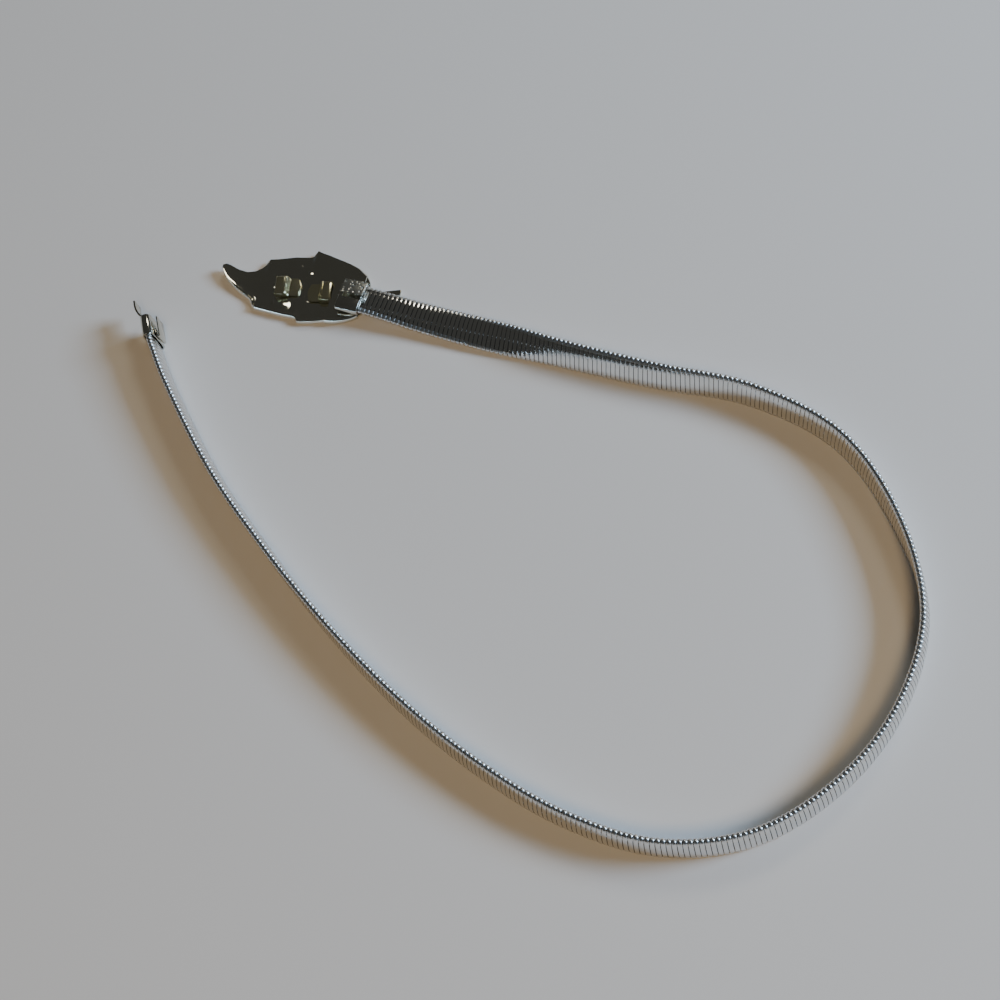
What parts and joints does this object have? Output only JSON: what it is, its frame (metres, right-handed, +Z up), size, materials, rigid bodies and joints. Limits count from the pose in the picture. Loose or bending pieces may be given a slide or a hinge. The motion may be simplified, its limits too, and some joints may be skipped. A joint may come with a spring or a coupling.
{
  "type": "elastic belt",
  "caption": "Metal stretch belt: flat coil band lying in an open loop, hook fittings at both ends, leaf-shaped buckle with catches on its back.",
  "frame": {"origin": "middle of the belt's box on the surface that it lies on", "axes": "+X from the buckle and the free end to the round end of the loop, +Y to the side with the buckle, +Z up from the surface"},
  "size_m": [0.315, 0.1672, 0.0135],
  "materials": {
    "band_steel": "polished plated steel strip, darker in the seams between turns",
    "fitting_steel": "polished plated steel",
    "spring_steel": "plated spring steel with a fine hammered face",
    "buckle_steel": "polished plated stamping, its back seen, slightly pitted",
    "catch_steel": "polished plated sheet with a faint warm tint"
  },
  "bodies": {
    "root": {"coil_band": "band_steel", "rear_ferrule": "fitting_steel", "rear_hook": "fitting_steel", "rear_spring": "spring_steel", "free_ferrule": "fitting_steel", "free_hook": "fitting_steel", "free_spring": "spring_steel", "buckle_plate": "buckle_steel", "front_catch": "catch_steel", "rear_catch": "catch_steel"}
  },
  "joints": []
}
